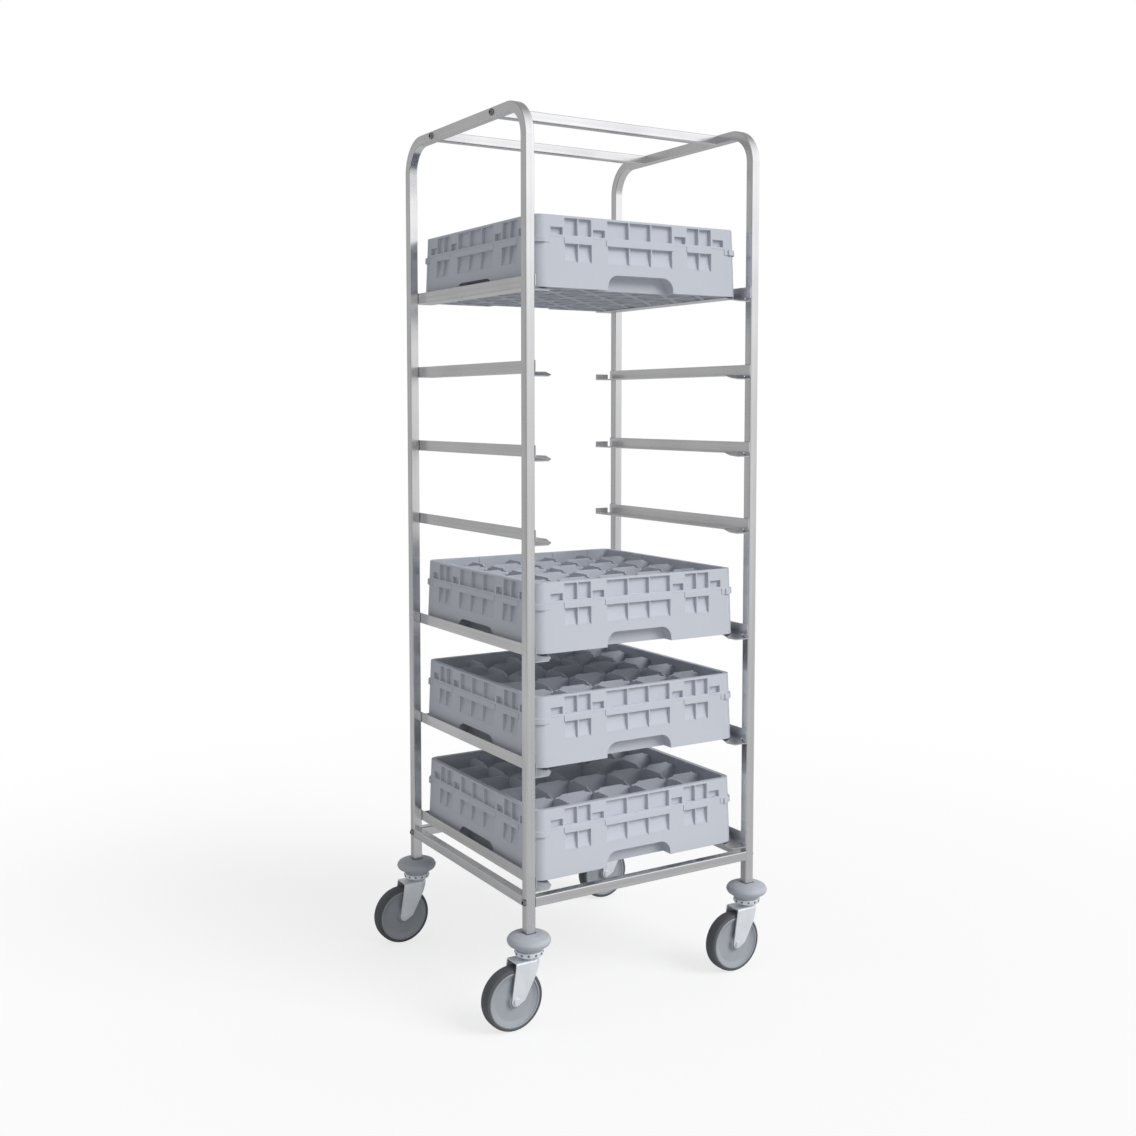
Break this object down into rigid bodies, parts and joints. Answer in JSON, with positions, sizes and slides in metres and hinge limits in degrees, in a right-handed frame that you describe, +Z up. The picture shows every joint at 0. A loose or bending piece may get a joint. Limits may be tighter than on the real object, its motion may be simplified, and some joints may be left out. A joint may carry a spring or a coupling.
{
  "type": "glass rack dolly",
  "caption": "Tall stainless tube trolley with angle rails for square glass racks, some loaded with grey compartment racks, on swivel castors with round bumpers.",
  "frame": {"origin": "on the floor, midway between the four posts", "axes": "+X to the right seen from the front, -Y towards the front where racks slide out, +Z up"},
  "size_m": [0.6895, 0.604, 1.7968],
  "materials": {
    "stainless": "brushed",
    "zinc": "bright zinc plate",
    "rack_plastic": "satin moulded polypropylene",
    "bumper_grey": "satin moulded",
    "hub_grey": "satin moulded",
    "tyre": "matt grey rubber"
  },
  "bodies": {
    "frame": {"left_side_tube": "stainless", "right_side_tube": "stainless", "left_base_bar": "stainless", "right_base_bar": "stainless", "front_base_bar": "stainless", "rear_base_bar": "stainless", "front_top_bar": "stainless", "rear_top_bar": "stainless", "bar_end_inserts": "zinc", "frame_bolts": "stainless", "left_rail_1": "stainless", "left_rail_2": "stainless", "left_rail_3": "stainless", "left_rail_4": "stainless", "left_rail_5": "stainless", "left_rail_6": "stainless", "left_rail_7": "stainless", "right_rail_1": "stainless", "right_rail_2": "stainless", "right_rail_3": "stainless", "right_rail_4": "stainless", "right_rail_5": "stainless", "right_rail_6": "stainless", "right_rail_7": "stainless", "front_left_bumper": "bumper_grey", "front_left_castor_head": "zinc", "front_right_bumper": "bumper_grey", "front_right_castor_head": "zinc", "rear_left_bumper": "bumper_grey", "rear_left_castor_head": "zinc", "rear_right_bumper": "bumper_grey", "rear_right_castor_head": "zinc"},
    "front_left_swivel": {"front_left_fork": "zinc", "front_left_axle_set": "zinc"},
    "front_left_wheel": {"front_left_hub": "hub_grey", "front_left_tyre": "tyre"},
    "front_right_swivel": {"front_right_fork": "zinc", "front_right_axle_set": "zinc"},
    "front_right_wheel": {"front_right_hub": "hub_grey", "front_right_tyre": "tyre"},
    "rear_left_swivel": {"rear_left_fork": "zinc", "rear_left_axle_set": "zinc"},
    "rear_left_wheel": {"rear_left_hub": "hub_grey", "rear_left_tyre": "tyre"},
    "rear_right_swivel": {"rear_right_fork": "zinc", "rear_right_axle_set": "zinc"},
    "rear_right_wheel": {"rear_right_hub": "hub_grey", "rear_right_tyre": "tyre"},
    "rack_1": {"rack_1_base": "rack_plastic", "rack_1_extender": "rack_plastic", "rack_1_dividers": "rack_plastic"},
    "rack_5": {"rack_5_base": "rack_plastic", "rack_5_extender": "rack_plastic", "rack_5_dividers": "rack_plastic"},
    "rack_6": {"rack_6_base": "rack_plastic", "rack_6_extender": "rack_plastic", "rack_6_dividers": "rack_plastic"},
    "rack_7": {"rack_7_base": "rack_plastic", "rack_7_extender": "rack_plastic", "rack_7_dividers": "rack_plastic"}
  },
  "joints": [
    {"name": "front_left_castor_swivel", "type": "hinge", "parent": "frame", "child": "front_left_swivel", "pos_m": [-0.272, -0.258, 0.14], "axis": [0, 0, 1], "continuous": true},
    {"name": "front_left_wheel_spin", "type": "hinge", "parent": "front_left_swivel", "child": "front_left_wheel", "pos_m": [-0.311, -0.258, 0.0625], "axis": [0, 1, 0], "continuous": true},
    {"name": "front_right_castor_swivel", "type": "hinge", "parent": "frame", "child": "front_right_swivel", "pos_m": [0.272, -0.258, 0.14], "axis": [0, 0, 1], "continuous": true},
    {"name": "front_right_wheel_spin", "type": "hinge", "parent": "front_right_swivel", "child": "front_right_wheel", "pos_m": [0.233, -0.258, 0.0625], "axis": [0, 1, 0], "continuous": true},
    {"name": "rear_left_castor_swivel", "type": "hinge", "parent": "frame", "child": "rear_left_swivel", "pos_m": [-0.272, 0.258, 0.14], "axis": [0, 0, 1], "continuous": true},
    {"name": "rear_left_wheel_spin", "type": "hinge", "parent": "rear_left_swivel", "child": "rear_left_wheel", "pos_m": [-0.311, 0.258, 0.0625], "axis": [0, 1, 0], "continuous": true},
    {"name": "rear_right_castor_swivel", "type": "hinge", "parent": "frame", "child": "rear_right_swivel", "pos_m": [0.272, 0.258, 0.14], "axis": [0, 0, 1], "continuous": true},
    {"name": "rear_right_wheel_spin", "type": "hinge", "parent": "rear_right_swivel", "child": "rear_right_wheel", "pos_m": [0.233, 0.258, 0.0625], "axis": [0, 1, 0], "continuous": true},
    {"name": "rack_1_slide", "type": "slide", "parent": "frame", "child": "rack_1", "axis": [0, -1, 0], "range_m": [-0.0085, 0.54]},
    {"name": "rack_5_slide", "type": "slide", "parent": "frame", "child": "rack_5", "axis": [0, -1, 0], "range_m": [-0.0085, 0.54]},
    {"name": "rack_6_slide", "type": "slide", "parent": "frame", "child": "rack_6", "axis": [0, -1, 0], "range_m": [-0.0085, 0.54]},
    {"name": "rack_7_slide", "type": "slide", "parent": "frame", "child": "rack_7", "axis": [0, -1, 0], "range_m": [-0.0085, 0.54]}
  ]
}
